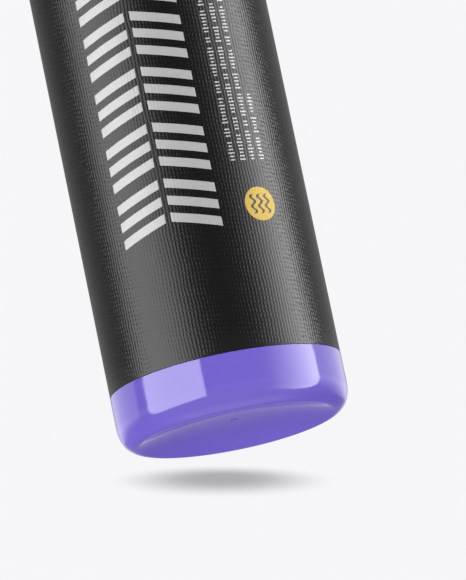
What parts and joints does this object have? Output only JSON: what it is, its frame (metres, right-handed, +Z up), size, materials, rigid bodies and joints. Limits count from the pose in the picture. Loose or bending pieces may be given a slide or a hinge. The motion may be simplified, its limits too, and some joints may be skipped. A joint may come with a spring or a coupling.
{
  "type": "shaving cream tube",
  "caption": "Round squeeze tube with a welded flat end, standing on a flush screw cap with a rounded, dished base; filled.",
  "frame": {"origin": "on the tube's axis, at the plane the cap stands on", "axes": "+Z up the tube from the cap to the welded end, X along the weld, -Y out of the printed front"},
  "size_m": [0.079, 0.05, 0.1874],
  "materials": {
    "printed_laminate": "satin",
    "head_plastic": "satin",
    "barrier_laminate": "satin",
    "foil": "satin",
    "cream": "gloss",
    "cap_gloss": "gloss",
    "insert_plastic": "satin",
    "liner_foam": "matte"
  },
  "bodies": {
    "tube": {"sleeve": "printed_laminate", "head": "head_plastic", "barrier_disc": "barrier_laminate", "foil_seal": "foil", "cream": "cream"},
    "liner": {"cap_liner": "liner_foam"},
    "cap": {"cap_shell": "cap_gloss", "cap_insert": "insert_plastic"}
  },
  "joints": [
    {"name": "cap_travel", "type": "slide", "parent": "tube", "child": "liner", "axis": [0, 0, -1], "range_m": [0, 0.0075]},
    {"name": "cap_turn", "type": "hinge", "parent": "liner", "child": "cap", "pos_m": [0, 0, 0], "axis": [0, 0, -1], "range_deg": [0, 1080]}
  ],
  "couplings": [
    {"joint": "cap_travel", "follows": "cap_turn", "m_per_rad": 0.00039789}
  ]
}
